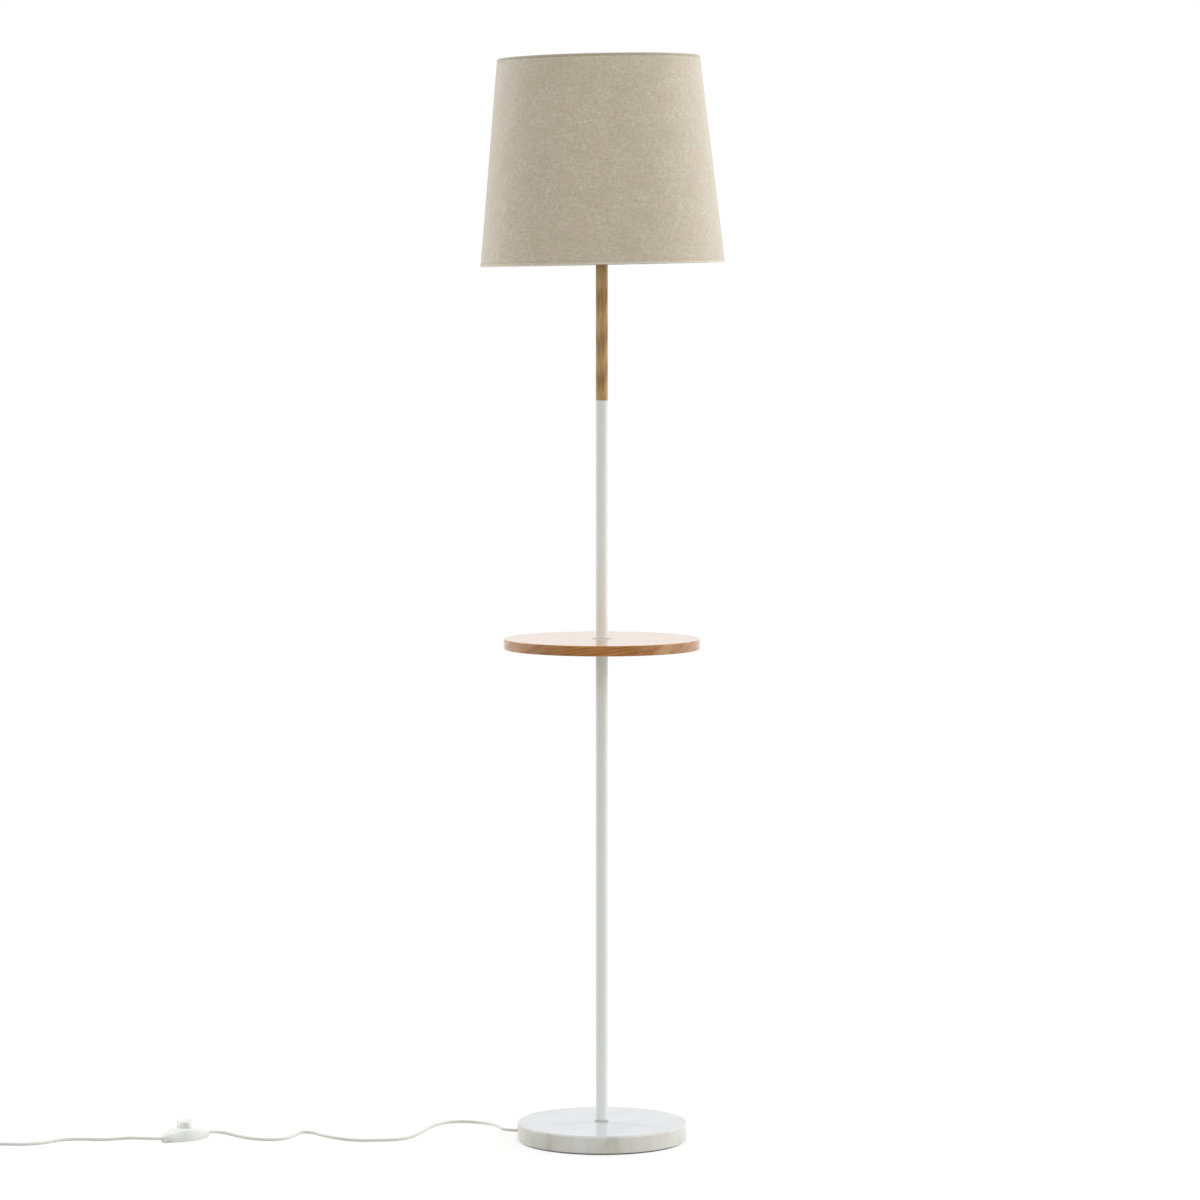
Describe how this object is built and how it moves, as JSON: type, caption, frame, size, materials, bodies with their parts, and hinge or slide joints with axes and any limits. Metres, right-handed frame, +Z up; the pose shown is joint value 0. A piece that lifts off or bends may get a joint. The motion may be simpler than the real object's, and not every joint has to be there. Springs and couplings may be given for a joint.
{
  "type": "floor lamp with table",
  "caption": "Floor lamp with a tapered linen shade, a slim pole through a small round table, a round stone foot, and a cord with a foot switch and plug.",
  "frame": {"origin": "on the floor under the pole's axis, at the middle of the foot", "axes": "+Z up along the pole, -Y towards the viewer of the picture, the cord leaves towards -X"},
  "size_m": [1.1823, 0.348, 1.5531],
  "materials": {
    "marble": "polished",
    "pad": "matte",
    "white_lacquer": "satin",
    "steel": "satin",
    "zinc": "satin",
    "brass": "satin",
    "table_wood": "gloss lacquer",
    "stem_wood": "satin",
    "holder_plastic": "satin",
    "bulb_white": "gloss",
    "bulb_glass": "frosted",
    "linen": "coarse weave",
    "liner": "satin film",
    "shade_wire": "satin",
    "clear_cord": "gloss, translucent",
    "clear_plastic": "gloss, clear",
    "grey_plastic": "satin",
    "spring_steel": "satin"
  },
  "bodies": {
    "lamp": {"marble_base": "marble", "base_pad": "pad", "base_washer": "zinc", "base_nut": "zinc", "base_nipple": "steel", "pole_foot_ring": "steel", "cord_relief": "clear_cord", "cord_inner": "clear_cord", "pole_lower": "white_lacquer", "pole_middle": "white_lacquer", "pole_upper": "white_lacquer", "insert_lower_bottom": "steel", "insert_lower_top": "steel", "insert_middle_bottom": "steel", "insert_middle_top": "steel", "insert_upper_bottom": "steel", "insert_upper_top": "steel", "joint_nipple": "steel", "table_nipple": "steel", "table_top": "table_wood", "table_plate": "white_lacquer", "table_washer": "steel", "wood_stem": "stem_wood", "stem_tube": "steel", "stem_collar": "white_lacquer", "holder_cap": "holder_plastic", "holder_skirt": "holder_plastic", "holder_core": "holder_plastic", "holder_socket": "brass", "holder_contact": "brass", "ring_nut_upper": "holder_plastic", "ring_nut_lower": "holder_plastic", "cord_to_switch": "clear_cord", "cord_to_coil": "clear_cord", "cord_coil": "clear_cord", "switch_base": "clear_plastic", "switch_cover": "clear_plastic", "switch_spring": "spring_steel", "switch_core": "grey_plastic", "switch_terminals": "grey_plastic", "switch_screws": "zinc", "plug_body": "clear_cord", "plug_relief": "clear_cord", "plug_pins": "brass", "pin_sleeves": "grey_plastic"},
    "shade": {"shade_cover": "linen", "shade_liner": "liner", "shade_top_ring": "shade_wire", "shade_bottom_ring": "shade_wire", "shade_spider": "shade_wire"},
    "bulb": {"bulb_tip": "zinc", "bulb_cap": "zinc", "bulb_housing": "bulb_white", "bulb_globe": "bulb_glass"},
    "foot_button": {"switch_button": "clear_plastic", "switch_plunger": "grey_plastic"}
  },
  "joints": [
    {"name": "shade_swivel", "type": "hinge", "parent": "lamp", "child": "shade", "pos_m": [0, 0, 1.3201], "axis": [0, 0, 1], "continuous": true},
    {"name": "bulb_unscrew", "type": "slide", "parent": "lamp", "child": "bulb", "axis": [0, 0, 1], "range_m": [0, 0.03]},
    {"name": "button_press", "type": "slide", "parent": "lamp", "child": "foot_button", "axis": [0, 0, -1], "range_m": [0, 0.003], "stiffness_N_per_m": 1000, "springref_m": -0.0015, "deforming": ["switch_spring"]}
  ]
}
